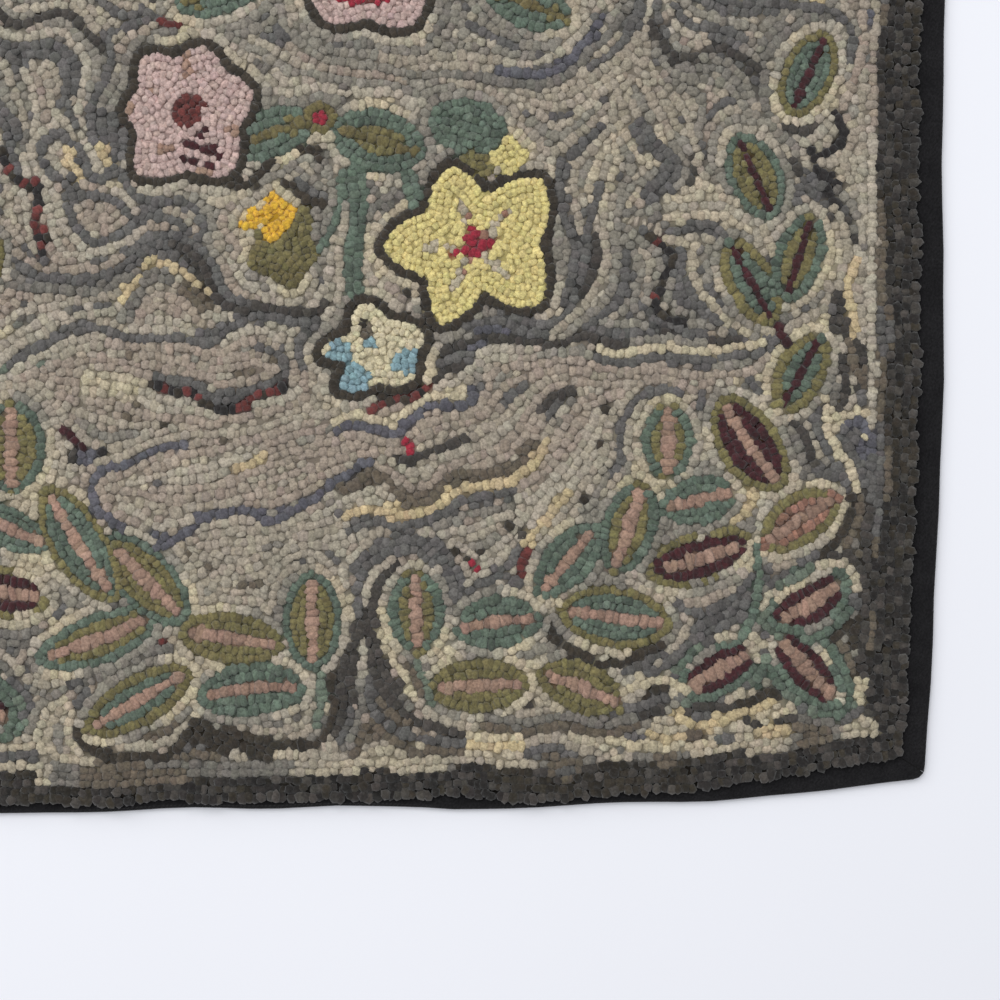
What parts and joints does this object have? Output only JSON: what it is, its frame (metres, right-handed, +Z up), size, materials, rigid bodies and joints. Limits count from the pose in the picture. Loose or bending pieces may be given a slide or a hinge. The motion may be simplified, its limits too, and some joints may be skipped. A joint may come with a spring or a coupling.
{
  "type": "hooked rug",
  "caption": "Flat rectangular hooked rug with looped wool pile, bowed edges and a folded binding tape, for laying on a floor.",
  "frame": {"origin": "centre of the rug's outline, on the surface that it lies on", "axes": "+Z up through the pile, +Y along the rug's length, +X along its width"},
  "size_m": [0.613, 0.9144, 0.0093],
  "materials": {
    "wool_pile": "looped wool strips in mixed taupe, slate, cream, green, maroon and yellow, matt",
    "binding_tape": "dark charcoal woven tape, matt, slightly fuzzy"
  },
  "bodies": {
    "root": {"hooked_field": "wool_pile", "binding_near": "binding_tape", "binding_right": "binding_tape", "binding_far": "binding_tape", "binding_left": "binding_tape"}
  },
  "joints": []
}
